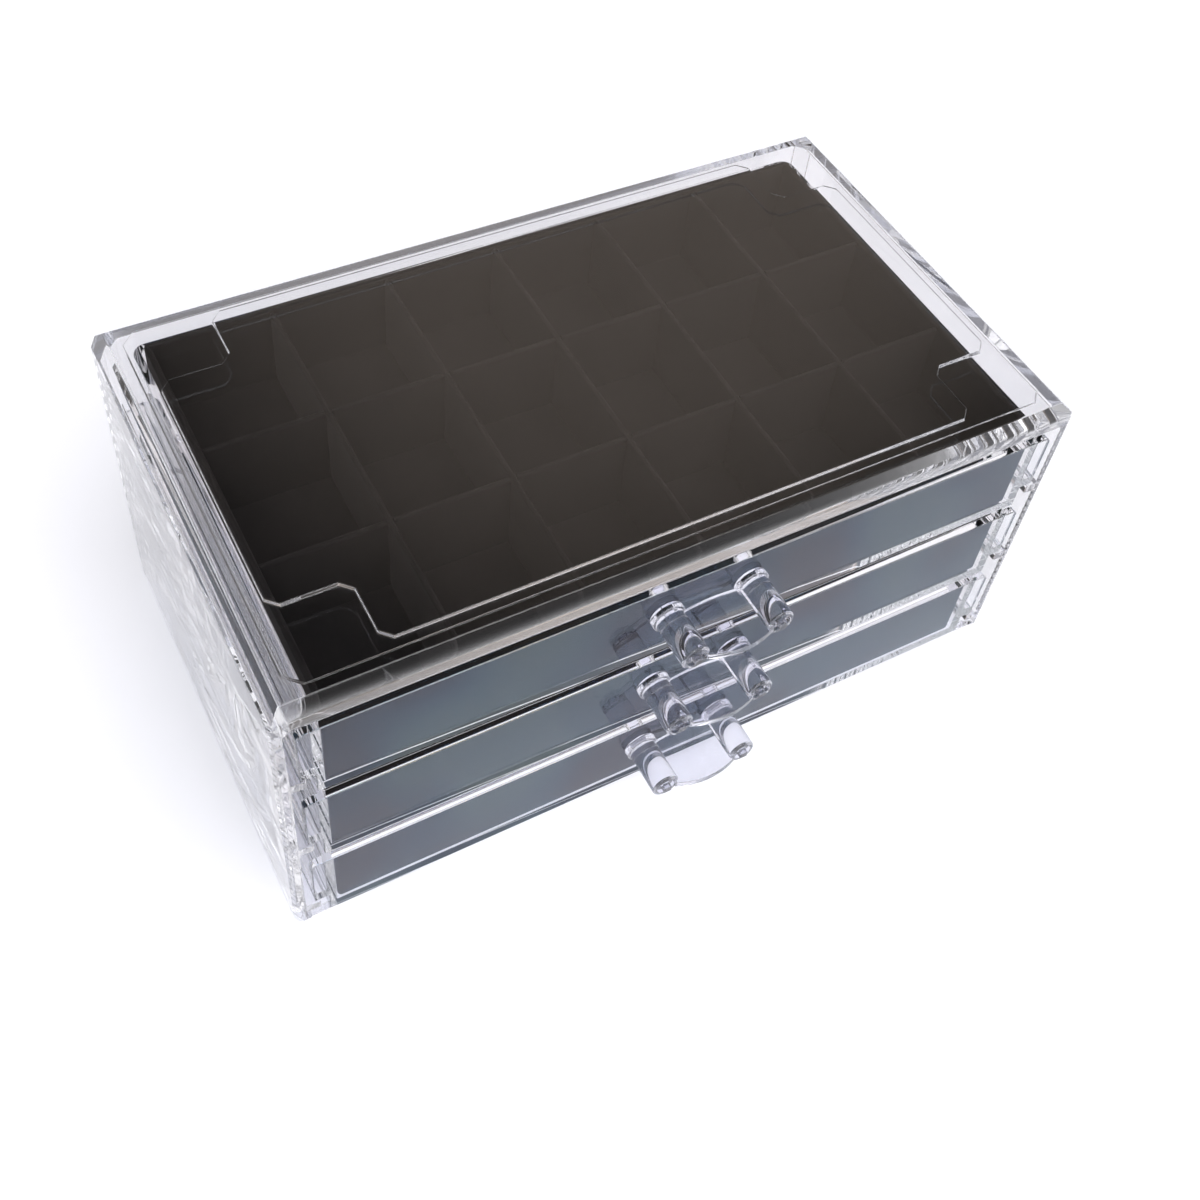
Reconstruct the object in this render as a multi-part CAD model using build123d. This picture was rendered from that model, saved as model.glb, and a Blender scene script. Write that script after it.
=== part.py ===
"""Clear drawer box: an open-fronted case with three drawers, their pulls, velvet trays and dividers.

Millimetres. X runs along the front, Y from the front to the back, Z up.
The origin is the middle of the case's resting face.
"""
from build123d import *
import os

# Case
case_width = 237.0
case_depth = 137.0
case_height = 108.0
side_wall = 3.2
back_wall = 3.2
floor_wall = 3.0
roof_wall = 6.4
edge_bevel = 3.6
front_side_bevel = 2.2
inner_bevel = 1.6
inner_corner_cut = 4.0
drawer_count = 3

# Low plate with cut corners on the roof
plate_rise = 0.5
plate_side_margin = 7.2
plate_end_margin = 6.5
plate_corner_cut = 4.0

# Raised panel with notched corners on that plate
panel_rise = 1.2
panel_side_margin = 11.0
panel_end_margin = 9.0
panel_notch_width = 20.5
panel_notch_depth = 19.5
panel_corner_cut = 3.0

# Slanted grooves down the two front side bevels
groove_pitch = 3.0
groove_width = 0.3
groove_slant_angle = 45.0
bevel_angle = 45.0

# Side ledges of the case and runners of the drawers
ledge_reach = 4.2
ledge_height = 3.2
runner_lift = 7.8
runner_height = 2.2
runner_reach = 4.0
running_gap = 0.3
side_gap = 2.5

# Drawer shell
drawer_lift = 0.6
head_gap = 4.0
front_recess = 0.3
back_gap = 1.0
front_wall = 2.4
drawer_wall = 2.2
drawer_floor = 2.0
drawer_corner = 4.0
drawer_inner_corner = 1.8
ear_corner = 2.0

# Pull
post_spacing = 25.6
post_diameter = 8.2
post_length = 15.5
post_end_bevel = 0.5
flange_diameter = 9.8
flange_thickness = 2.0
recess_diameter = 5.6
recess_depth = 1.2
nub_width = 2.3
nub_height = 2.3
spigot_diameter = 5.0
spigot_gap = 0.1
web_thickness = 2.2
web_rear_setback = 2.4
web_rear_bow = 1.4
web_front_setback = 0.8
web_front_bow = 3.6
pull_height_share = 0.62

# Velvet trays and their dividers
tray_gap = 0.8
tray_front_gap = 0.4
tray_wall = 1.8
tray_floor = 1.8
tray_rise = 2.6
tray_corner = 2.4
tray_inner_corner = 1.0
divider_thickness = 1.6
divider_drop = 0.6
divider_end_gap = 0.2
lap_gap = 0.1
upper_long_divider_count = 2
upper_cross_divider_count = 5
middle_long_divider_count = 1
middle_cross_divider_count = 3
lower_cross_divider_count = 2

# How far every cut runs past the face it opens
overrun = 2.0

# Derived places
levels = ("lower", "middle", "upper")
case_front = -case_depth / 2
case_back = case_depth / 2
roof_top = case_height - panel_rise - plate_rise
inner_half = case_width / 2 - side_wall
inner_back = case_back - back_wall
inner_top = roof_top - roof_wall
bay_height = (inner_top - floor_wall) / drawer_count

drawer_half = inner_half - ledge_reach - side_gap
runner_half = drawer_half + runner_reach
front_face = case_front + front_recess
front_back = front_face + front_wall
drawer_back = inner_back - back_gap
front_height = bay_height - drawer_lift - head_gap

tray_half = drawer_half - drawer_wall - tray_gap
tray_front = front_back + tray_front_gap
tray_back = drawer_back - drawer_wall - tray_gap
tray_height = front_height + tray_rise - drawer_floor
tray_inner_half = tray_half - tray_wall
tray_inner_front = tray_front + tray_wall
tray_inner_back = tray_back - tray_wall
pocket_height = tray_height - tray_floor
divider_height = pocket_height - divider_drop
long_divider_counts = {
    "lower": 0,
    "middle": middle_long_divider_count,
    "upper": upper_long_divider_count,
}
cross_divider_counts = {
    "lower": lower_cross_divider_count,
    "middle": middle_cross_divider_count,
    "upper": upper_cross_divider_count,
}


def drawer_base(level):
    """Height of a drawer's underside above the resting face."""
    return floor_wall + levels.index(level) * bay_height + drawer_lift


def block(x_range, y_range, z_range):
    """Box between two corners, given as a range along each axis."""
    size = [high - low for low, high in (x_range, y_range, z_range)]
    middle = [(high + low) / 2 for low, high in (x_range, y_range, z_range)]
    return Pos(*middle) * Box(*size)


def cut_corner_prism(plane, u_range, v_range, cuts, length):
    """Rectangle with its four corners cut, drawn on a plane and extruded both ways.

    cuts gives the legs of the corners at low u low v, high u low v, high u high v and low u high v.
    """
    (u_low, u_high), (v_low, v_high) = u_range, v_range
    first, second, third, fourth = cuts
    corners = [
        (u_low + first, v_low), (u_high - second, v_low),
        (u_high, v_low + second), (u_high, v_high - third),
        (u_high - third, v_high), (u_low + fourth, v_high),
        (u_low, v_high - fourth), (u_low, v_low + first),
    ]
    outline = Polyline(*dict.fromkeys(corners), close=True)
    return extrude(plane * make_face(outline), amount=length, both=True)


def bevelled_case_block():
    """Outer block of the case: every edge bevelled, the two upright front edges by less."""
    x_range = (-case_width / 2, case_width / 2)
    y_range = (case_front, case_back)
    z_range = (0, roof_top)
    even = (edge_bevel,) * 4
    from_above = (front_side_bevel, front_side_bevel, edge_bevel, edge_bevel)
    seen_from_front = cut_corner_prism(Plane.XZ, x_range, z_range, even, case_depth)
    seen_from_side = cut_corner_prism(Plane.YZ, y_range, z_range, even, case_width)
    seen_from_above = cut_corner_prism(Plane.XY, x_range, y_range, from_above, case_height)
    return seen_from_front & seen_from_side & seen_from_above


def case_room():
    """The space inside the case, open at the front."""
    section = cut_corner_prism(
        Plane.XZ, (-inner_half, inner_half), (floor_wall, inner_top), (inner_bevel,) * 4, case_depth
    )
    rear_cuts = (0, 0, inner_corner_cut, inner_corner_cut)
    y_range = (case_front - overrun, inner_back)
    seen_from_above = cut_corner_prism(Plane.XY, (-inner_half, inner_half), y_range, rear_cuts, case_height)
    return section & seen_from_above


def roof_plate():
    """Low plate on the roof, a rectangle with cut corners."""
    half_x = case_width / 2 - plate_side_margin
    half_y = case_depth / 2 - plate_end_margin
    cuts = (plate_corner_cut,) * 4
    plate = cut_corner_prism(Plane.XY, (-half_x, half_x), (-half_y, half_y), cuts, case_height)
    layer = block((-half_x, half_x), (-half_y, half_y), (roof_top, roof_top + plate_rise))
    return plate & layer


def raised_panel():
    """Panel on the roof's plate, a rectangle whose corners are notched and then cut."""
    half_x = case_width / 2 - panel_side_margin
    half_y = case_depth / 2 - panel_end_margin
    shoulder_x = half_x - panel_notch_width
    shoulder_y = half_y - panel_notch_depth
    cut = panel_corner_cut
    quarter = [
        (half_x, shoulder_y - cut), (half_x - cut, shoulder_y),
        (shoulder_x + cut, shoulder_y), (shoulder_x, shoulder_y + cut),
        (shoulder_x, half_y - cut), (shoulder_x - cut, half_y),
    ]
    mirrored = [(-x, y) for x, y in reversed(quarter)]
    rear_half = quarter + mirrored
    front_half = [(-x, -y) for x, y in rear_half]
    foot = make_face(Polyline(*rear_half, *front_half, close=True))
    return Pos(0, 0, roof_top + plate_rise) * extrude(foot, amount=panel_rise)


def bevel_grooves():
    """Slanted V grooves, evenly spaced up both front side bevels."""
    room = roof_top - 2 * edge_bevel
    count = int(room / groove_pitch)
    first = (roof_top - (count - 1) * groove_pitch) / 2
    length = 2 * front_side_bevel + overrun
    bar = Rot(X=bevel_angle) * Box(length, groove_width, groove_width)
    grooves = []
    for side in (-1, 1):
        x = side * (case_width / 2 - front_side_bevel / 2)
        y = case_front + front_side_bevel / 2
        turn = Rot(Z=side * bevel_angle) * Rot(Y=-side * groove_slant_angle)
        for index in range(count):
            grooves.append(Pos(x, y, first + index * groove_pitch) * turn * bar)
    return grooves


def case_ledges():
    """Two ledges for each drawer, from the front of the case to its back wall."""
    ledges = []
    for level in levels:
        top = drawer_base(level) + runner_lift - running_gap
        z_range = (top - ledge_height, top)
        y_range = (case_front, inner_back)
        ledges.append(block((-inner_half, -inner_half + ledge_reach), y_range, z_range))
        ledges.append(block((inner_half - ledge_reach, inner_half), y_range, z_range))
    return ledges


def case_shell():
    """The case: bevelled block, hollowed, with its ledges, its plate, its raised panel and its grooves."""
    shell = bevelled_case_block() - case_room()
    shell = shell + case_ledges() + roof_plate() + raised_panel()
    return shell - bevel_grooves()


def post_places(level):
    """Middle of the drawer front's face behind each post of the pull."""
    z = drawer_base(level) + front_height * pull_height_share
    return [(side * post_spacing / 2, front_face, z) for side in (-1, 1)]


def along_front(place, start, length, radius):
    """Round bar that runs out to the front, from start to start + length ahead of a place."""
    x, y, z = place
    bar = Cylinder(radius, length, align=(Align.CENTER, Align.CENTER, Align.MIN))
    return Pos(x, y - start, z) * Rot(X=90) * bar


def drawer_shell(level):
    """Clear drawer: floor, walls and a front with two ears in one, with a runner along each side."""
    base = drawer_base(level)
    top = base + front_height
    runner_base = base + runner_lift
    body = block((-drawer_half, drawer_half), (front_face, drawer_back), (base, top))
    rear_uprights = body.edges().filter_by(Axis.Z).group_by(Axis.Y)[-1]
    body = fillet(rear_uprights, drawer_corner)
    inner_side = drawer_half - drawer_wall
    room_y = (front_back, drawer_back - drawer_wall)
    room = block((-inner_side, inner_side), room_y, (base + drawer_floor, top + overrun))
    room_uprights = room.edges().filter_by(Axis.Z).group_by(Axis.Y)[-1]
    room = fillet(room_uprights, drawer_inner_corner)
    wide_front = block((-runner_half, runner_half), (front_face, front_back), (runner_base, top))
    wide_front = fillet(wide_front.edges().filter_by(Axis.Y).group_by(Axis.Z)[-1], ear_corner)
    shell = body - room + wide_front
    runner_z = (runner_base, runner_base + runner_height)
    for side in (-1, 1):
        x_range = sorted((side * (drawer_half - drawer_wall), side * runner_half))
        shell = shell + block(x_range, (front_face, drawer_back - drawer_corner), runner_z)
    hole_radius = spigot_diameter / 2 + spigot_gap
    for place in post_places(level):
        shell = shell - along_front(place, -front_wall - overrun, front_wall + 2 * overrun, hole_radius)
    return shell


def pull(level):
    """Clear pull: two flanged posts with a recessed end, and a leaf-shaped web between them."""
    places = post_places(level)
    web_rear = front_face - web_rear_setback
    web_front = front_face - post_length + web_front_setback
    left, right = -post_spacing / 2, post_spacing / 2
    rear_edge = ThreePointArc((left, web_rear), (0, web_rear + web_rear_bow), (right, web_rear))
    front_edge = ThreePointArc((right, web_front), (0, web_front - web_front_bow), (left, web_front))
    sides = [Line((right, web_rear), (right, web_front)), Line((left, web_front), (left, web_rear))]
    leaf = make_face(Curve() + [rear_edge, front_edge] + sides)
    body = Pos(0, 0, places[0][2]) * extrude(leaf, amount=web_thickness / 2, both=True)
    for place in places:
        post = along_front(place, 0, post_length, post_diameter / 2)
        post = chamfer(post.faces().sort_by(Axis.Y)[0].edges(), post_end_bevel)
        body = body + post + along_front(place, 0, flange_thickness, flange_diameter / 2)
        body = body + along_front(place, -front_wall, front_wall, spigot_diameter / 2)
    for x, y, z in places:
        recess_floor = post_length - recess_depth
        body = body - along_front((x, y, z), recess_floor, recess_depth + overrun, recess_diameter / 2)
        half = nub_width / 2
        nub_y = (y - recess_floor - nub_height, y - recess_floor)
        body = body + block((x - half, x + half), nub_y, (z - half, z + half))
    return body


def velvet_tray(level):
    """Open velvet tray that lies on the drawer's floor, with rounded corners."""
    base = drawer_base(level) + drawer_floor
    top = base + tray_height
    outer = block((-tray_half, tray_half), (tray_front, tray_back), (base, top))
    outer = fillet(outer.edges().filter_by(Axis.Z), tray_corner)
    pocket_x = (-tray_inner_half, tray_inner_half)
    pocket_y = (tray_inner_front, tray_inner_back)
    pocket = block(pocket_x, pocket_y, (base + tray_floor, top + overrun))
    pocket = fillet(pocket.edges().filter_by(Axis.Z), tray_inner_corner)
    return outer - pocket


def even_places(low, high, count):
    """Places that divide a length into count + 1 equal parts."""
    return [low + (high - low) * (index + 1) / (count + 1) for index in range(count)]


def cross_places(level):
    """Where the cross dividers stand along the front."""
    return even_places(-tray_inner_half, tray_inner_half, cross_divider_counts[level])


def long_places(level):
    """Where the long dividers stand from front to back."""
    return even_places(tray_inner_front, tray_inner_back, long_divider_counts[level])


def divider_z(level):
    """Lowest and highest level of a tray's dividers."""
    base = drawer_base(level) + drawer_floor + tray_floor
    return base, base + divider_height


def lap_range(place):
    """Width of a lap slot round a divider that crosses at a place."""
    half = divider_thickness / 2 + lap_gap
    return place - half, place + half


def long_divider(level, y):
    """Divider along the front, slotted from above where the cross dividers pass."""
    low, high = divider_z(level)
    reach = tray_inner_half - divider_end_gap
    y_range = (y - divider_thickness / 2, y + divider_thickness / 2)
    divider = block((-reach, reach), y_range, (low, high))
    for x in cross_places(level):
        divider = divider - block(lap_range(x), (tray_front, tray_back), ((low + high) / 2, high + overrun))
    return divider


def cross_divider(level, x):
    """Divider from front to back, slotted from below where the long dividers pass."""
    low, high = divider_z(level)
    y_range = (tray_inner_front + divider_end_gap, tray_inner_back - divider_end_gap)
    divider = block((x - divider_thickness / 2, x + divider_thickness / 2), y_range, (low, high))
    for y in long_places(level):
        slot_top = (low + high) / 2 + lap_gap
        divider = divider - block((-tray_half, tray_half), lap_range(y), (low - overrun, slot_top))
    return divider


def all_parts():
    """Every node's name and solid."""
    parts = {"case_shell": case_shell()}
    for level in levels:
        parts[f"{level}_drawer_shell"] = drawer_shell(level)
        parts[f"{level}_pull"] = pull(level)
        parts[f"{level}_velvet_tray"] = velvet_tray(level)
        for index, y in enumerate(long_places(level), start=1):
            parts[f"{level}_long_divider_{index}"] = long_divider(level, y)
        for index, x in enumerate(cross_places(level), start=1):
            parts[f"{level}_cross_divider_{index}"] = cross_divider(level, x)
    return parts


os.makedirs("parts", exist_ok=True)
for name, part in all_parts().items():
    export_step(part, f"parts/{name}.step")
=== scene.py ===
"""Looks of the clear drawer box: case, drawers and pulls in clear plastic, trays and dividers in velvet.

Metres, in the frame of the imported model: X runs along the front, Y from the front to the back, Z up.
"""
import math

import bmesh
import bpy
import numpy as np
from bpy.props import FloatProperty, FloatVectorProperty, IntProperty, PointerProperty
from mathutils import Matrix, Vector


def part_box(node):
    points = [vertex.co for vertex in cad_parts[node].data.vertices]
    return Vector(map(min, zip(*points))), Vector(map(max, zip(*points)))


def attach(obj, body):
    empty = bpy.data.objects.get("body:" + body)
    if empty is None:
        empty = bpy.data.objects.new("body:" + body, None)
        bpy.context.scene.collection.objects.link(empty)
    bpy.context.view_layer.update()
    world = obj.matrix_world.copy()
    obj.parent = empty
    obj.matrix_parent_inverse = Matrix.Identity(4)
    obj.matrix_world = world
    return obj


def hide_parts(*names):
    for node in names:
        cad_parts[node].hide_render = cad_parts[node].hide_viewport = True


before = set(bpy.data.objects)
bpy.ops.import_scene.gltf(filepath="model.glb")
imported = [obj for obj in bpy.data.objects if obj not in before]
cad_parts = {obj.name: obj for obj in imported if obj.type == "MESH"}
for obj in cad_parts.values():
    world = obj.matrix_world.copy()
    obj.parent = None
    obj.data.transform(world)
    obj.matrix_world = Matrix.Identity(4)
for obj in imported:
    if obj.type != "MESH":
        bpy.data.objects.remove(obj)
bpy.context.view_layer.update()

bl_info = {
    "name": "Clear drawer box",
    "version": (1, 0, 0),
    "blender": (4, 5, 0),
    "location": "3D View > Sidebar > Drawer box",
    "description": "Dresses a packed drawer box in clear plastic and black velvet",
    "category": "Object",
}

LEVELS = ("lower", "middle", "upper")
CASE_BODY = "case"

# Meshes: an edge sharper than SHARP_ANGLE is seen as an edge, faces within FLAT_ANGLE count as one,
# and points within JOIN_DISTANCE as the same.
SHARP_ANGLE = math.radians(25)
FLAT_ANGLE = math.radians(0.5)
JOIN_DISTANCE = 1e-6
EDGE_SEGMENTS = 2
FLAT_WEIGHT = 100
FLOOR_LINES = 9
TRAY_FLOOR_SHARES = (0.9, 0.4)

# Patterns: the values of a noise between which a look goes over into the next, and the noise's fineness.
RUB_BAND = (0.64, 0.8)
FILM_BAND = (0.35, 0.65)
PILE_BAND = (0.35, 0.65)
FLOOR_BAND = (0.3, 0.7)
RUB_STRETCH = (14, 1, 1)
SLOW_DETAIL = 1.0
FIBRE_DETAIL = 2.0
PLAIN_DETAIL = 3.0
PILE_DETAIL = 4.0

# Camera: width of the picture's frame in millimetres, and the nearest distance that it shows.
FRAME_WIDTH = 36
NEAREST = 0.01


# Settings

class ClearPlasticSettings(bpy.types.PropertyGroup):
    """Clear moulded plastic of the case, drawers and pulls."""

    tint: FloatVectorProperty(
        name="Tint", description="Colour of the light that comes through", subtype="COLOR",
        size=4, default=(0.968, 0.966, 0.976, 1.0), min=0, max=1,
    )
    pull_tint: FloatVectorProperty(
        name="Pull tint", description="Colour of the light that comes through a pull", subtype="COLOR",
        size=4, default=(0.8, 0.8, 0.86, 1.0), min=0, max=1,
    )
    refraction: FloatProperty(
        name="Refraction", description="Index of refraction", default=1.49, min=1, max=2,
    )
    shade: FloatVectorProperty(
        name="Shade", description="Share of lamp light that passes one face", subtype="COLOR",
        size=4, default=(0.95, 0.955, 0.965, 1.0), min=0, max=1,
    )
    film_thin: FloatProperty(
        name="Film, thin", description="Least thickness of the surface film in nanometres",
        default=168, min=0,
    )
    film_thick: FloatProperty(
        name="Film, thick", description="Greatest thickness of the surface film in nanometres",
        default=236, min=0,
    )
    film_refraction: FloatProperty(
        name="Film refraction", description="Index of refraction of the surface film",
        default=1.35, min=1, max=2,
    )
    film_patch: FloatProperty(
        name="Film patch", description="Size of the patches in the film",
        unit="LENGTH", default=0.04, min=0.001,
    )
    case_edge: FloatProperty(
        name="Case edge", description="Radius of the edges of the case and drawers",
        unit="LENGTH", default=0.0003, min=0,
    )
    pull_edge: FloatProperty(
        name="Pull edge", description="Radius of the edges of the pulls",
        unit="LENGTH", default=0.00018, min=0,
    )
    groove_strip: FloatProperty(
        name="Groove strip", description="Width of the strip at each upright front edge that stays sharp",
        unit="LENGTH", default=0.0036, min=0,
    )
    ripple: FloatProperty(
        name="Ripple", description="Size of the slow waves that moulding leaves",
        unit="LENGTH", default=0.035, min=0.001,
    )
    ripple_strength: FloatProperty(
        name="Ripple strength", description="How far the slow waves turn the surface",
        default=0.0025, min=0, max=1,
    )
    ripple_height: FloatProperty(
        name="Ripple height", description="Height of the slow waves", unit="LENGTH", default=0.001, min=0,
    )
    rub: FloatProperty(
        name="Rub marks", description="Width of the fine rub marks",
        unit="LENGTH", default=0.0009, min=0.0001,
    )
    rub_roughness: FloatProperty(
        name="Rub roughness", description="Roughness of a rub mark", default=0.02, min=0, max=1,
    )
    seat_gap: FloatProperty(
        name="Seat gap", description="Film of air between a pull's flange and the drawer front",
        unit="LENGTH", default=0.00006, min=0,
    )


class VelvetSettings(bpy.types.PropertyGroup):
    """Black velvet of the trays and their dividers."""

    pile: FloatVectorProperty(
        name="Pile", description="Colour of the pile seen along the fibres", subtype="COLOR",
        size=4, default=(0.0042, 0.0037, 0.0037, 1.0), min=0, max=1,
    )
    brushed: FloatVectorProperty(
        name="Brushed pile", description="Colour where the pile is brushed over", subtype="COLOR",
        size=4, default=(0.0085, 0.0072, 0.0066, 1.0), min=0, max=1,
    )
    sheen: FloatVectorProperty(
        name="Sheen", description="Colour of the pale rim of the fibres", subtype="COLOR",
        size=4, default=(0.55, 0.5, 0.48, 1.0), min=0, max=1,
    )
    sheen_weight: FloatProperty(
        name="Sheen weight", description="Strength of the pale rim", default=0.07, min=0, max=1,
    )
    sheen_roughness: FloatProperty(
        name="Sheen roughness", description="How widely the pale rim spreads", default=0.4, min=0, max=1,
    )
    roughness: FloatProperty(
        name="Roughness", description="Roughness of the pile", default=0.95, min=0, max=1,
    )
    gloss: FloatProperty(
        name="Gloss", description="Strength of the pile's plain gloss", default=0.08, min=0, max=1,
    )
    fibre: FloatProperty(
        name="Fibre", description="Size of the grain of the pile",
        unit="LENGTH", default=0.0006, min=0.0001,
    )
    fibre_height: FloatProperty(
        name="Fibre height", description="Height of the grain", unit="LENGTH", default=0.0003, min=0,
    )
    fibre_strength: FloatProperty(
        name="Fibre strength", description="How far the grain turns the surface", default=0.05, min=0, max=1,
    )
    patch: FloatProperty(
        name="Patch", description="Size of the brushed patches", unit="LENGTH", default=0.03, min=0.001,
    )
    tray_wall: FloatProperty(
        name="Tray wall", description="Thickness of a tray's walls",
        unit="LENGTH", default=0.0018, min=0.0005,
    )
    tray_floor: FloatProperty(
        name="Tray floor", description="Thickness of a tray's floor",
        unit="LENGTH", default=0.0018, min=0.0005,
    )
    tray_corner: FloatProperty(
        name="Tray corner", description="Radius of a tray's upright outer corners",
        unit="LENGTH", default=0.0012, min=0.0005,
    )
    tray_edge: FloatProperty(
        name="Tray edge", description="Radius of a tray's lower outer edge",
        unit="LENGTH", default=0.0006, min=0,
    )
    tray_foot: FloatProperty(
        name="Tray foot", description="Radius where a tray's walls meet its floor",
        unit="LENGTH", default=0.0008, min=0,
    )
    tray_lift: FloatProperty(
        name="Tray lift", description="Film of air under a tray, held open by the pile",
        unit="LENGTH", default=0.00015, min=0,
    )
    lap_gap: FloatProperty(
        name="Lap gap", description="Play of a divider in the slot that it passes",
        unit="LENGTH", default=0.0001, min=0,
    )
    slot_slant: FloatProperty(
        name="Slot slant", description="How far the sides of a slot lean out",
        unit="LENGTH", default=0.00015, min=0,
    )
    steps: IntProperty(
        name="Steps", description="Steps round a quarter circle", default=8, min=3,
    )


class StageSettings(bpy.types.PropertyGroup):
    """Floor, light and camera."""

    floor_size: FloatProperty(
        name="Floor", description="Width of the floor", unit="LENGTH", default=30.0, min=1,
    )
    floor_colour: FloatVectorProperty(
        name="Floor colour", description="Colour of the pale floor", subtype="COLOR",
        size=4, default=(0.915, 0.915, 0.94, 1.0), min=0, max=1,
    )
    floor_roughness: FloatProperty(
        name="Floor roughness", description="Roughness of the floor", default=0.8, min=0, max=1,
    )
    floor_gloss: FloatProperty(
        name="Floor gloss", description="Strength of the floor's gloss", default=0.1, min=0, max=1,
    )
    floor_patch: FloatProperty(
        name="Floor patch", description="Size of the floor's slow unevenness",
        unit="LENGTH", default=0.4, min=0.01,
    )
    floor_shade: FloatProperty(
        name="Floor shade", description="Brightness of the floor's darker patches, as a share of its colour",
        default=0.985, min=0, max=1,
    )
    lamp_axis: FloatVectorProperty(
        name="Soft light", description="Direction in which the large soft light hangs", subtype="DIRECTION",
        default=(0.0, -0.5, 0.87),
    )
    lamp_spread: FloatProperty(
        name="Light spread", description="Half the width of the soft light as seen from the box",
        subtype="ANGLE", default=math.radians(26),
    )
    lamp_soft: FloatProperty(
        name="Light edge", description="Width of the soft light's faded edge", subtype="ANGLE",
        default=math.radians(4),
    )
    lamp_colour: FloatVectorProperty(
        name="Light colour", description="Colour of the soft light", subtype="COLOR",
        size=4, default=(0.975, 0.975, 1.0, 1.0), min=0, max=1,
    )
    lamp_strength: FloatProperty(
        name="Light strength", description="Brightness of the soft light", default=4.0, min=0,
    )
    wall_axis: FloatVectorProperty(
        name="Far wall", description="Direction of the dim wall that the lid mirrors", subtype="DIRECTION",
        default=(0.43, 0.66, 0.62),
    )
    wall_near: FloatProperty(
        name="Wall middle", description="Angle from the wall's direction where it is at its brightest",
        subtype="ANGLE", default=math.radians(4),
    )
    wall_far: FloatProperty(
        name="Wall edge", description="Angle from the wall's direction where it fades out",
        subtype="ANGLE", default=math.radians(20),
    )
    wall_colour: FloatVectorProperty(
        name="Wall colour", description="Colour of the dim wall", subtype="COLOR",
        size=4, default=(1.0, 0.84, 0.72, 1.0), min=0, max=1,
    )
    wall_strength: FloatProperty(
        name="Wall strength", description="Brightness of the dim wall", default=0.54, min=0,
    )
    haze_low: FloatProperty(
        name="Haze", description="Angle above the horizon up to which the room is at its palest",
        subtype="ANGLE", default=math.radians(6),
    )
    haze_high: FloatProperty(
        name="Haze edge", description="Angle above the horizon where the haze ends", subtype="ANGLE",
        default=math.radians(25),
    )
    haze_strength: FloatProperty(
        name="Haze strength", description="What the haze adds to the room's brightness",
        default=0.5, min=0,
    )
    corner_near: FloatProperty(
        name="Dim corner", description="Angle from the far wall's direction within which the room is dim",
        subtype="ANGLE", default=math.radians(25),
    )
    corner_far: FloatProperty(
        name="Dim corner edge", description="Angle from the far wall's direction where the dim corner ends",
        subtype="ANGLE", default=math.radians(38),
    )
    corner_colour: FloatVectorProperty(
        name="Corner colour", description="Colour of the dim corner of the room", subtype="COLOR",
        size=4, default=(0.042, 0.04, 0.041, 1.0), min=0, max=1,
    )
    room_colour: FloatVectorProperty(
        name="Room", description="Colour of the rest of the room", subtype="COLOR",
        size=4, default=(0.5, 0.5, 0.515, 1.0), min=0, max=1,
    )
    camera_place: FloatVectorProperty(
        name="Camera", description="Where the camera stands", subtype="XYZ_LENGTH",
        default=(-0.1613, -0.2476, 0.4019),
    )
    camera_aim: FloatVectorProperty(
        name="Aim", description="Point on the lens's axis", subtype="XYZ_LENGTH",
        default=(0.0106, 0.0038, 0.05),
    )
    camera_roll: FloatProperty(
        name="Roll", description="Turn of the camera about its axis", subtype="ANGLE",
        default=math.radians(7.57),
    )
    camera_lens: FloatProperty(
        name="Lens", description="Focal length in millimetres", default=45.65, min=1,
    )
    camera_shift: FloatProperty(
        name="Shift", description="Upward shift of the picture, as a share of its width",
        default=-0.1,
    )
    light_turns: IntProperty(
        name="Light turns", description="How often light may be bent or mirrored inside the clear walls",
        default=128, min=4,
    )
    sparkle_limit: FloatProperty(
        name="Sparkle limit", description="Brightest light that one path may bring after its first turn",
        default=1.7, min=0,
    )


# Meshes

def cad_object(node):
    """The CAD object of a node; an error if the frame has none."""
    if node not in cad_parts:
        raise RuntimeError(f"the frame has no node {node}")
    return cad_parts[node]


def add_piece(mesh, body, replaced, material):
    """Put a finished mesh into the scene as a piece that rides a body and stands for a CAD node."""
    piece = bpy.data.objects.new(mesh.name, mesh)
    bpy.context.scene.collection.objects.link(piece)
    mesh.materials.clear()
    mesh.materials.append(material)
    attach(piece, body)
    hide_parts(replaced)
    return piece


def skin(name, rings, start, end):
    """Closed mesh over a stack of rings: quads between each two rings, and a fan to a pole at either end.

    rings is an array of rings by points by coordinates, start and end are the two poles.
    """
    ring_count, point_count = rings.shape[:2]
    index = np.arange(ring_count * point_count).reshape(ring_count, point_count)
    beside = np.roll(index, -1, axis=1)
    quads = np.stack([index[:-1], beside[:-1], beside[1:], index[1:]], axis=-1).reshape(-1, 4)
    start_index = ring_count * point_count
    end_index = start_index + 1
    first = np.stack([beside[0], index[0], np.full(point_count, start_index)], axis=-1)
    last = np.stack([index[-1], beside[-1], np.full(point_count, end_index)], axis=-1)
    points = np.concatenate([rings.reshape(-1, 3), [start], [end]])
    corners = points[np.concatenate([first, last, quads[:, :3], quads[:, [0, 2, 3]]])]
    volume = np.einsum("ij,ij->i", corners[:, 0], np.cross(corners[:, 1], corners[:, 2])).sum()
    if volume < 0:
        quads, first, last = quads[:, ::-1], first[:, ::-1], last[:, ::-1]
    mesh = bpy.data.meshes.new(name)
    mesh.from_pydata(points.tolist(), [], quads.tolist() + first.tolist() + last.tolist())
    mesh.update()
    mesh.shade_smooth()
    mesh.set_sharp_from_angle(angle=SHARP_ANGLE)
    return mesh


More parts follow.
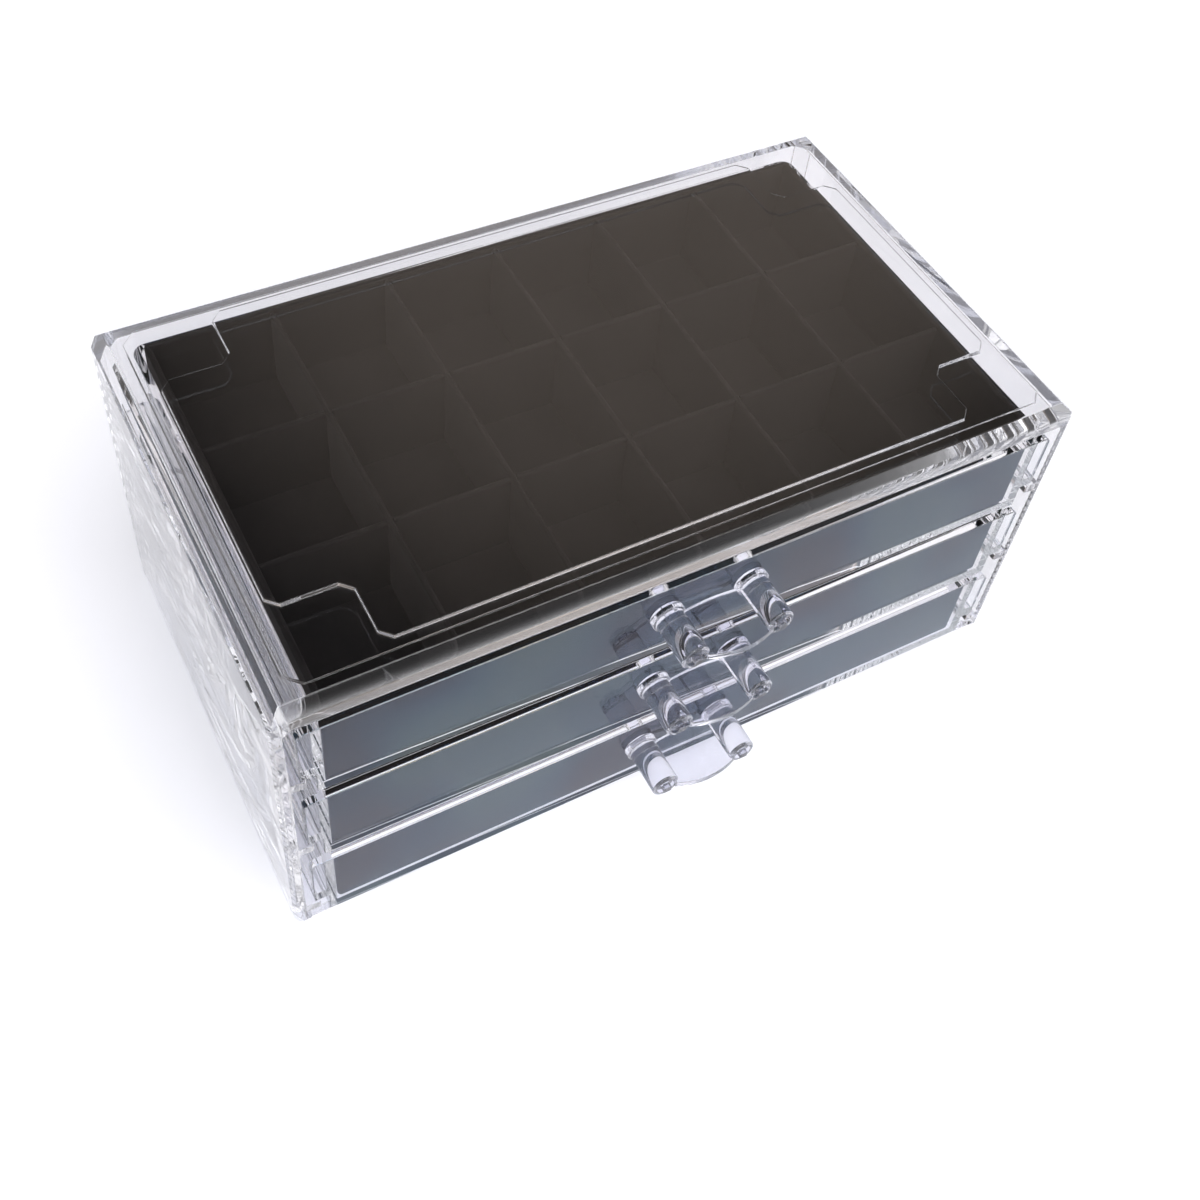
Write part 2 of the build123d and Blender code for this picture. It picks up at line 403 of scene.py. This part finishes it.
def merged_copy(node, name, stays_sharp=None):
    """A CAD node's mesh with its triangles joined, its flat faces made whole and its edges marked.

    The marked edges are those to be rounded. stays_sharp tells of a point whether the edges that lie
    there are left as they are.
    """
    work = bmesh.new()
    work.from_mesh(cad_object(node).data)
    bmesh.ops.remove_doubles(work, verts=work.verts, dist=JOIN_DISTANCE)
    bmesh.ops.dissolve_limit(work, angle_limit=FLAT_ANGLE, verts=work.verts, edges=work.edges)
    weight = work.edges.layers.float.new("bevel_weight_edge")
    for edge in work.edges:
        sharp = edge.calc_face_angle(0) > SHARP_ANGLE
        kept = stays_sharp is not None and all(stays_sharp(corner.co) for corner in edge.verts)
        edge[weight] = float(sharp and not kept)
        edge.smooth = not (sharp and kept)
    for face in work.faces:
        face.smooth = True
    mesh = bpy.data.meshes.new(name)
    work.to_mesh(mesh)
    work.free()
    return mesh


def round_edges(piece, radius):
    """Round the marked edges of a piece by a small radius, and keep its large faces flat to the eye."""
    bevel = piece.modifiers.new("edge_radius", "BEVEL")
    bevel.limit_method = "WEIGHT"
    bevel.width = radius
    bevel.segments = EDGE_SEGMENTS
    bevel.use_clamp_overlap = False
    flat = piece.modifiers.new("flat_faces", "WEIGHTED_NORMAL")
    flat.weight = FLAT_WEIGHT


# Materials

def new_material(name):
    """Empty node material; returns the material, its nodes, its links and its output node."""
    material = bpy.data.materials.new(name)
    material.use_nodes = True
    nodes = material.node_tree.nodes
    nodes.clear()
    return material, nodes, material.node_tree.links, nodes.new("ShaderNodeOutputMaterial")


def object_noise(nodes, links, size, detail, stretch=(1, 1, 1)):
    """Noise on Object coordinates whose grain is about one size wide, drawn out along an axis by stretch."""
    place = nodes.new("ShaderNodeTexCoord")
    mapping = nodes.new("ShaderNodeMapping")
    mapping.inputs["Scale"].default_value = [1 / (size * share) for share in stretch]
    noise = nodes.new("ShaderNodeTexNoise")
    noise.inputs["Scale"].default_value = 1.0
    noise.inputs["Detail"].default_value = detail
    links.new(place.outputs["Object"], mapping.inputs["Vector"])
    links.new(mapping.outputs["Vector"], noise.inputs["Vector"])
    return noise


def ramp_between(nodes, links, source, band, first, second):
    """Colour ramp from first to second as the source goes through a band of values."""
    ramp = nodes.new("ShaderNodeValToRGB")
    start, end = ramp.color_ramp.elements
    start.position, end.position = band
    start.color, end.color = first, second
    links.new(source, ramp.inputs["Fac"])
    return ramp


def grey(value):
    """A plain grey as a colour."""
    return value, value, value, 1.0


def clear_plastic(name, settings, tint, filmed=False):
    """Clear plastic: slow moulding ripple, fine rub marks, and a film of uneven thickness if asked for.

    Light on its way to the floor and the velvet passes straight through, a little dimmed at each face.
    """
    material, nodes, links, output = new_material(name)
    plastic = nodes.new("ShaderNodeBsdfPrincipled")
    plastic.inputs["Base Color"].default_value = tint
    plastic.inputs["Transmission Weight"].default_value = 1.0
    plastic.inputs["IOR"].default_value = settings.refraction
    rubs = object_noise(nodes, links, settings.rub, PLAIN_DETAIL, RUB_STRETCH)
    rubbed = grey(settings.rub_roughness)
    gloss = ramp_between(nodes, links, rubs.outputs["Fac"], RUB_BAND, grey(0.0), rubbed)
    links.new(gloss.outputs["Color"], plastic.inputs["Roughness"])
    if filmed:
        patches = object_noise(nodes, links, settings.film_patch, SLOW_DETAIL)
        film = nodes.new("ShaderNodeMapRange")
        film.inputs["From Min"].default_value = FILM_BAND[0]
        film.inputs["From Max"].default_value = FILM_BAND[1]
        film.inputs["To Min"].default_value = settings.film_thin
        film.inputs["To Max"].default_value = settings.film_thick
        links.new(patches.outputs["Fac"], film.inputs["Value"])
        links.new(film.outputs["Result"], plastic.inputs["Thin Film Thickness"])
        plastic.inputs["Thin Film IOR"].default_value = settings.film_refraction
    ripple = object_noise(nodes, links, settings.ripple, SLOW_DETAIL)
    bump = nodes.new("ShaderNodeBump")
    bump.inputs["Strength"].default_value = settings.ripple_strength
    bump.inputs["Distance"].default_value = settings.ripple_height
    links.new(ripple.outputs["Fac"], bump.inputs["Height"])
    links.new(bump.outputs["Normal"], plastic.inputs["Normal"])
    open_face = nodes.new("ShaderNodeBsdfTransparent")
    open_face.inputs["Color"].default_value = settings.shade
    path = nodes.new("ShaderNodeLightPath")
    mix = nodes.new("ShaderNodeMixShader")
    links.new(path.outputs["Is Shadow Ray"], mix.inputs["Fac"])
    links.new(plastic.outputs["BSDF"], mix.inputs[1])
    links.new(open_face.outputs["BSDF"], mix.inputs[2])
    links.new(mix.outputs["Shader"], output.inputs["Surface"])
    return material


def velvet(name, settings):
    """Black velvet: brushed patches in the colour, fine pile in the bump, and a pale sheen."""
    material, nodes, links, output = new_material(name)
    cloth = nodes.new("ShaderNodeBsdfPrincipled")
    cloth.inputs["Roughness"].default_value = settings.roughness
    cloth.inputs["Specular IOR Level"].default_value = settings.gloss
    cloth.inputs["Sheen Weight"].default_value = settings.sheen_weight
    cloth.inputs["Sheen Roughness"].default_value = settings.sheen_roughness
    cloth.inputs["Sheen Tint"].default_value = settings.sheen
    patches = object_noise(nodes, links, settings.patch, PILE_DETAIL)
    colour = ramp_between(nodes, links, patches.outputs["Fac"], PILE_BAND, settings.pile, settings.brushed)
    links.new(colour.outputs["Color"], cloth.inputs["Base Color"])
    fibres = object_noise(nodes, links, settings.fibre, FIBRE_DETAIL)
    bump = nodes.new("ShaderNodeBump")
    bump.inputs["Strength"].default_value = settings.fibre_strength
    bump.inputs["Distance"].default_value = settings.fibre_height
    links.new(fibres.outputs["Fac"], bump.inputs["Height"])
    links.new(bump.outputs["Normal"], cloth.inputs["Normal"])
    links.new(cloth.outputs["BSDF"], output.inputs["Surface"])
    return material


def pale_floor(name, settings):
    """Pale matt floor with a faint, slow unevenness."""
    material, nodes, links, output = new_material(name)
    paint = nodes.new("ShaderNodeBsdfPrincipled")
    paint.inputs["Roughness"].default_value = settings.floor_roughness
    paint.inputs["Specular IOR Level"].default_value = settings.floor_gloss
    red, green, blue, cover = settings.floor_colour
    dim = settings.floor_shade
    darker = (dim * red, dim * green, dim * blue, cover)
    clouds = object_noise(nodes, links, settings.floor_patch, PLAIN_DETAIL)
    shade = ramp_between(nodes, links, clouds.outputs["Fac"], FLOOR_BAND, darker, settings.floor_colour)
    links.new(shade.outputs["Color"], paint.inputs["Base Color"])
    links.new(paint.outputs["BSDF"], output.inputs["Surface"])
    return material


# Shapes

def rounded_loops(half_x, half_y, radius, steps):
    """Rounded rectangles about the origin, one for each entry of the arrays, as loops by points by x and y.

    Each is four quarter circles of its radius, joined by straight runs.
    """
    sign_x = np.array([1, -1, -1, 1])[:, None]
    sign_y = np.array([1, 1, -1, -1])[:, None]
    turn = np.arange(4)[:, None] * math.pi / 2 + np.linspace(0, math.pi / 2, steps + 1)
    middle_x = (half_x - radius)[:, None, None]
    middle_y = (half_y - radius)[:, None, None]
    x = sign_x * middle_x + radius[:, None, None] * np.cos(turn)
    y = sign_y * middle_y + radius[:, None, None] * np.sin(turn)
    return np.stack([x.reshape(len(radius), -1), y.reshape(len(radius), -1)], axis=-1)


def tray_surface(name, low, high, settings):
    """Open tray: a wall section carried round a rounded rectangle, its floors drawn in to a pole.

    Each ring is the tray's outline moved inwards by an inset and lifted to a height. Insets and heights
    run up the outer wall, over the half-round rim, down the inner wall and round its foot.
    """
    wall, floor = settings.tray_wall, settings.tray_floor
    edge, foot = settings.tray_edge, settings.tray_foot
    base = low.z + settings.tray_lift
    middle_x, middle_y = (low.x + high.x) / 2, (low.y + high.y) / 2
    half_x, half_y = (high.x - low.x) / 2, (high.y - low.y) / 2
    quarter = np.linspace(0, math.pi / 2, settings.steps)
    rim = np.linspace(0, math.pi, 2 * settings.steps)
    far_in = half_y * np.array(TRAY_FLOOR_SHARES)
    inset = np.concatenate([
        far_in,
        edge - edge * np.sin(quarter),
        wall / 2 - wall / 2 * np.cos(rim),
        wall + foot - foot * np.cos(quarter),
        far_in[::-1],
    ])
    rise = np.concatenate([
        np.full(len(far_in), base),
        base + edge - edge * np.cos(quarter),
        high.z - wall / 2 + wall / 2 * np.sin(rim),
        base + floor + foot - foot * np.sin(quarter),
        np.full(len(far_in), base + floor),
    ])
    radius = np.maximum(settings.tray_corner - inset, edge)
    loops = rounded_loops(half_x - inset, half_y - inset, radius, settings.steps)
    heights = np.broadcast_to(rise[:, None, None], loops.shape[:2] + (1,))
    rings = np.concatenate([loops + np.array([middle_x, middle_y]), heights], axis=-1)
    return skin(name, rings, (middle_x, middle_y, base), (middle_x, middle_y, base + floor))


def divider_surface(name, low, high, along, crossings, from_above, settings):
    """Divider board: a section with a half-round top carried along one axis, with a slot at each crossing.

    The section's top or bottom moves to mid height between the two sides of a slot. along is 0 for X
    and 1 for Y, crossings holds the low and high side of each divider that passes.
    """
    across = 1 - along
    half = (high[across] - low[across]) / 2
    centre = (high[across] + low[across]) / 2
    mid = (low.z + high.z) / 2
    gap, slant = settings.lap_gap, settings.slot_slant
    sides = np.array(crossings).reshape(-1, 2) + np.array([-gap, gap])
    slots = np.column_stack([sides[:, 0] - slant, sides, sides[:, 1] + slant]).ravel()
    stations = np.concatenate([[low[along]], slots, [high[along]]])
    inside = np.concatenate([[0], np.tile([0, 1, 1, 0], len(sides)), [0]])
    top = high.z + (mid - high.z) * inside * from_above
    bottom = low.z + (mid - low.z) * inside * (not from_above)
    arc = np.linspace(0, math.pi, 2 * settings.steps)
    side = centre + half * np.concatenate([[1], np.cos(arc), [-1]])
    arch = top[:, None] - half + half * np.sin(arc)
    level = np.column_stack([bottom, arch, bottom])
    rings = np.empty(level.shape + (3,))
    rings[..., along] = stations[:, None]
    rings[..., across] = side
    rings[..., 2] = level
    poles = np.empty((2, 3))
    poles[:, along] = stations[[0, -1]]
    poles[:, across] = centre
    poles[:, 2] = mid
    return skin(name, rings, poles[0], poles[1])


# Operators

def settings_of(context):
    """The scene's settings of the box."""
    return context.scene.drawer_box


class DRAWERBOX_OT_case(bpy.types.Operator):
    """Clear case with rounded edges"""

    bl_idname = "drawer_box.case"
    bl_label = "Case"

    def execute(self, context):
        settings = settings_of(context).plastic
        low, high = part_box("case_shell")
        strip = settings.groove_strip

        def on_grooved_bevel(point):
            """True near the upright front edges, where the grooves are."""
            return high.x - abs(point.x) < strip and point.y - low.y < strip

        material = clear_plastic("case_plastic", settings, settings.tint)
        mesh = merged_copy("case_shell", "clear_case", on_grooved_bevel)
        piece = add_piece(mesh, CASE_BODY, "case_shell", material)
        round_edges(piece, settings.case_edge)
        return {"FINISHED"}


class DRAWERBOX_OT_drawers(bpy.types.Operator):
    """Three clear drawers with rounded edges"""

    bl_idname = "drawer_box.drawers"
    bl_label = "Drawers"

    def execute(self, context):
        settings = settings_of(context).plastic
        material = clear_plastic("drawer_plastic", settings, settings.tint, filmed=True)
        for level in LEVELS:
            node = f"{level}_drawer_shell"
            mesh = merged_copy(node, f"{level}_clear_drawer")
            piece = add_piece(mesh, f"{level}_drawer", node, material)
            round_edges(piece, settings.case_edge)
        return {"FINISHED"}


class DRAWERBOX_OT_pulls(bpy.types.Operator):
    """Three clear pulls with rounded edges, each a film of air off its drawer front"""

    bl_idname = "drawer_box.pulls"
    bl_label = "Pulls"

    def execute(self, context):
        settings = settings_of(context).plastic
        material = clear_plastic("pull_plastic", settings, settings.pull_tint)
        for level in LEVELS:
            node = f"{level}_pull"
            mesh = merged_copy(node, f"{level}_clear_pull")
            self.lift_off(mesh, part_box(f"{level}_drawer_shell")[0].y, settings.seat_gap)
            piece = add_piece(mesh, f"{level}_drawer", node, material)
            round_edges(piece, settings.pull_edge)
        return {"FINISHED"}

    def lift_off(self, mesh, face, gap):
        """Move the points that lie on the drawer front's face forward by the gap."""
        points = np.empty(3 * len(mesh.vertices))
        mesh.vertices.foreach_get("co", points)
        points = points.reshape(-1, 3)
        points[np.abs(points[:, 1] - face) < JOIN_DISTANCE, 1] -= gap
        mesh.vertices.foreach_set("co", points.ravel())
        mesh.update()


class DRAWERBOX_OT_trays(bpy.types.Operator):
    """Three velvet trays with rounded rims"""

    bl_idname = "drawer_box.trays"
    bl_label = "Velvet trays"

    def execute(self, context):
        settings = settings_of(context).velvet
        material = velvet("tray_velvet", settings)
        for level in LEVELS:
            node = f"{level}_velvet_tray"
            low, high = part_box(node)
            mesh = tray_surface(f"{level}_soft_tray", low, high, settings)
            add_piece(mesh, f"{level}_drawer", node, material)
        return {"FINISHED"}


class DRAWERBOX_OT_dividers(bpy.types.Operator):
    """Velvet dividers, half-lapped where they cross"""

    bl_idname = "drawer_box.dividers"
    bl_label = "Velvet dividers"

    def execute(self, context):
        settings = settings_of(context).velvet
        material = velvet("divider_velvet", settings)
        for level in LEVELS:
            long_boxes = self.boxes(f"{level}_long_divider")
            cross_boxes = self.boxes(f"{level}_cross_divider")
            cross_sides = [(low.x, high.x) for low, high in cross_boxes.values()]
            long_sides = [(low.y, high.y) for low, high in long_boxes.values()]
            for node, (low, high) in long_boxes.items():
                mesh = divider_surface(f"{node}_board", low, high, 0, cross_sides, True, settings)
                add_piece(mesh, f"{level}_drawer", node, material)
            for node, (low, high) in cross_boxes.items():
                mesh = divider_surface(f"{node}_board", low, high, 1, long_sides, False, settings)
                add_piece(mesh, f"{level}_drawer", node, material)
        return {"FINISHED"}

    def boxes(self, start):
        """Box of each node whose name begins so, in the order of the names."""
        return {node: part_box(node) for node in sorted(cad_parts) if node.startswith(start)}


class DRAWERBOX_OT_stage(bpy.types.Operator):
    """Pale floor, soft light, pale room and the camera"""

    bl_idname = "drawer_box.stage"
    bl_label = "Stage"

    def execute(self, context):
        settings = settings_of(context).stage
        scene = context.scene
        self.add_floor(scene, settings)
        self.add_room(scene, settings)
        self.add_camera(scene, settings)
        scene.view_settings.view_transform = "Standard"
        scene.cycles.max_bounces = settings.light_turns
        scene.cycles.glossy_bounces = settings.light_turns
        scene.cycles.transmission_bounces = settings.light_turns
        scene.cycles.transparent_max_bounces = settings.light_turns
        scene.cycles.sample_clamp_indirect = settings.sparkle_limit
        return {"FINISHED"}

    def add_floor(self, scene, settings):
        """Level floor: a square grid at height nought."""
        half = settings.floor_size / 2
        side = np.linspace(-half, half, FLOOR_LINES)
        x, y = np.meshgrid(side, side)
        points = np.stack([x.ravel(), y.ravel(), np.zeros(x.size)], axis=-1)
        index = np.arange(x.size).reshape(x.shape)
        corners = [index[:-1, :-1], index[:-1, 1:], index[1:, 1:], index[1:, :-1]]
        mesh = bpy.data.meshes.new("floor")
        mesh.from_pydata(points.tolist(), [], np.stack(corners, axis=-1).reshape(-1, 4).tolist())
        floor = bpy.data.objects.new("floor", mesh)
        scene.collection.objects.link(floor)
        mesh.materials.append(pale_floor("pale_floor", settings))

    def add_room(self, scene, settings):
        """World by direction: a pale room with a dim corner, and the lights that are added to it.

        The lid mirrors the dim corner and the far wall in it towards the camera. The haze is a pale horizon.
        """
        world = bpy.data.worlds.new("studio_room")
        world.use_nodes = True
        nodes, links = world.node_tree.nodes, world.node_tree.links
        nodes.clear()
        room = self.flat_light(nodes, settings.room_colour)
        corner = self.flat_light(nodes, settings.corner_colour)
        wall = settings.wall_axis
        dim = self.room_patch(nodes, links, wall, settings.corner_far, settings.corner_near, 1.0)
        total = nodes.new("ShaderNodeMixShader")
        links.new(dim, total.inputs["Fac"])
        links.new(room.outputs[0], total.inputs[1])
        links.new(corner.outputs[0], total.inputs[2])
        lamp_edge = settings.lamp_spread + settings.lamp_soft
        haze_from_zenith = math.pi / 2 - settings.haze_high
        haze_full = math.pi / 2 - settings.haze_low
        lamp_light = (settings.lamp_colour, settings.lamp_strength)
        wall_light = (settings.wall_colour, settings.wall_strength)
        haze_light = (settings.lamp_colour, settings.haze_strength)
        patches = [
            (settings.lamp_axis, lamp_edge, settings.lamp_spread, *lamp_light),
            (wall, settings.wall_far, settings.wall_near, *wall_light),
            ((0, 0, 1), haze_from_zenith, haze_full, *haze_light),
        ]
        for axis, outer, inner, colour, strength in patches:
            light = self.flat_light(nodes, colour)
            links.new(self.room_patch(nodes, links, axis, outer, inner, strength), light.inputs["Strength"])
            both = nodes.new("ShaderNodeAddShader")
            links.new(total.outputs[0], both.inputs[0])
            links.new(light.outputs[0], both.inputs[1])
            total = both
        output = nodes.new("ShaderNodeOutputWorld")
        links.new(total.outputs[0], output.inputs["Surface"])
        scene.world = world

    def flat_light(self, nodes, colour):
        """Light of one colour from every direction."""
        light = nodes.new("ShaderNodeBackground")
        light.inputs["Color"].default_value = colour
        return light

    def room_patch(self, nodes, links, axis, outer, inner, strength):
        """Output that is nought at the outer angle from an axis and the full strength at the inner angle."""
        place = nodes.new("ShaderNodeTexCoord")
        along = nodes.new("ShaderNodeVectorMath")
        along.operation = "DOT_PRODUCT"
        along.inputs[1].default_value = Vector(axis).normalized()
        links.new(place.outputs["Generated"], along.inputs[0])
        fade = nodes.new("ShaderNodeMapRange")
        fade.interpolation_type = "SMOOTHSTEP"
        fade.inputs["From Min"].default_value = math.cos(outer)
        fade.inputs["From Max"].default_value = math.cos(inner)
        fade.inputs["To Max"].default_value = strength
        links.new(along.outputs["Value"], fade.inputs["Value"])
        return fade.outputs["Result"]

    def add_camera(self, scene, settings):
        """Camera at the photograph's view: it looks at the aim and is turned about that line by the roll."""
        lens = bpy.data.cameras.new("camera")
        lens.sensor_width = FRAME_WIDTH
        lens.lens = settings.camera_lens
        lens.shift_y = settings.camera_shift
        lens.clip_start = NEAREST
        camera = bpy.data.objects.new("camera", lens)
        scene.collection.objects.link(camera)
        place = Vector(settings.camera_place)
        look = (Vector(settings.camera_aim) - place).to_track_quat("-Z", "Y").to_matrix().to_4x4()
        roll = Matrix.Rotation(settings.camera_roll, 4, "Z")
        camera.matrix_world = Matrix.Translation(place) @ look @ roll
        scene.camera = camera


class DrawerBoxSettings(bpy.types.PropertyGroup):
    """All settings of the box."""

    plastic: PointerProperty(type=ClearPlasticSettings)
    velvet: PointerProperty(type=VelvetSettings)
    stage: PointerProperty(type=StageSettings)


OPERATORS = (
    DRAWERBOX_OT_case, DRAWERBOX_OT_drawers, DRAWERBOX_OT_pulls,
    DRAWERBOX_OT_trays, DRAWERBOX_OT_dividers, DRAWERBOX_OT_stage,
)


class DRAWERBOX_PT_sidebar(bpy.types.Panel):
    """Lists the steps that dress the box"""

    bl_label = "Drawer box"
    bl_idname = "DRAWERBOX_PT_sidebar"
    bl_space_type = "VIEW_3D"
    bl_region_type = "UI"
    bl_category = "Drawer box"

    def draw(self, context):
        for operator in OPERATORS:
            self.layout.operator(operator.bl_idname)


CLASSES = (
    ClearPlasticSettings, VelvetSettings, StageSettings, DrawerBoxSettings, *OPERATORS, DRAWERBOX_PT_sidebar,
)


def register():
    """Make the classes and the scene's settings known to Blender."""
    for cls in CLASSES:
        bpy.utils.register_class(cls)
    bpy.types.Scene.drawer_box = PointerProperty(type=DrawerBoxSettings)


def unregister():
    """Take the settings and the classes out again."""
    del bpy.types.Scene.drawer_box
    for cls in reversed(CLASSES):
        bpy.utils.unregister_class(cls)


def main():
    """Dress the box piece by piece."""
    register()
    bpy.ops.drawer_box.case()
    bpy.ops.drawer_box.drawers()
    bpy.ops.drawer_box.pulls()
    bpy.ops.drawer_box.trays()
    bpy.ops.drawer_box.dividers()
    bpy.ops.drawer_box.stage()


if __name__ == "__main__":
    main()
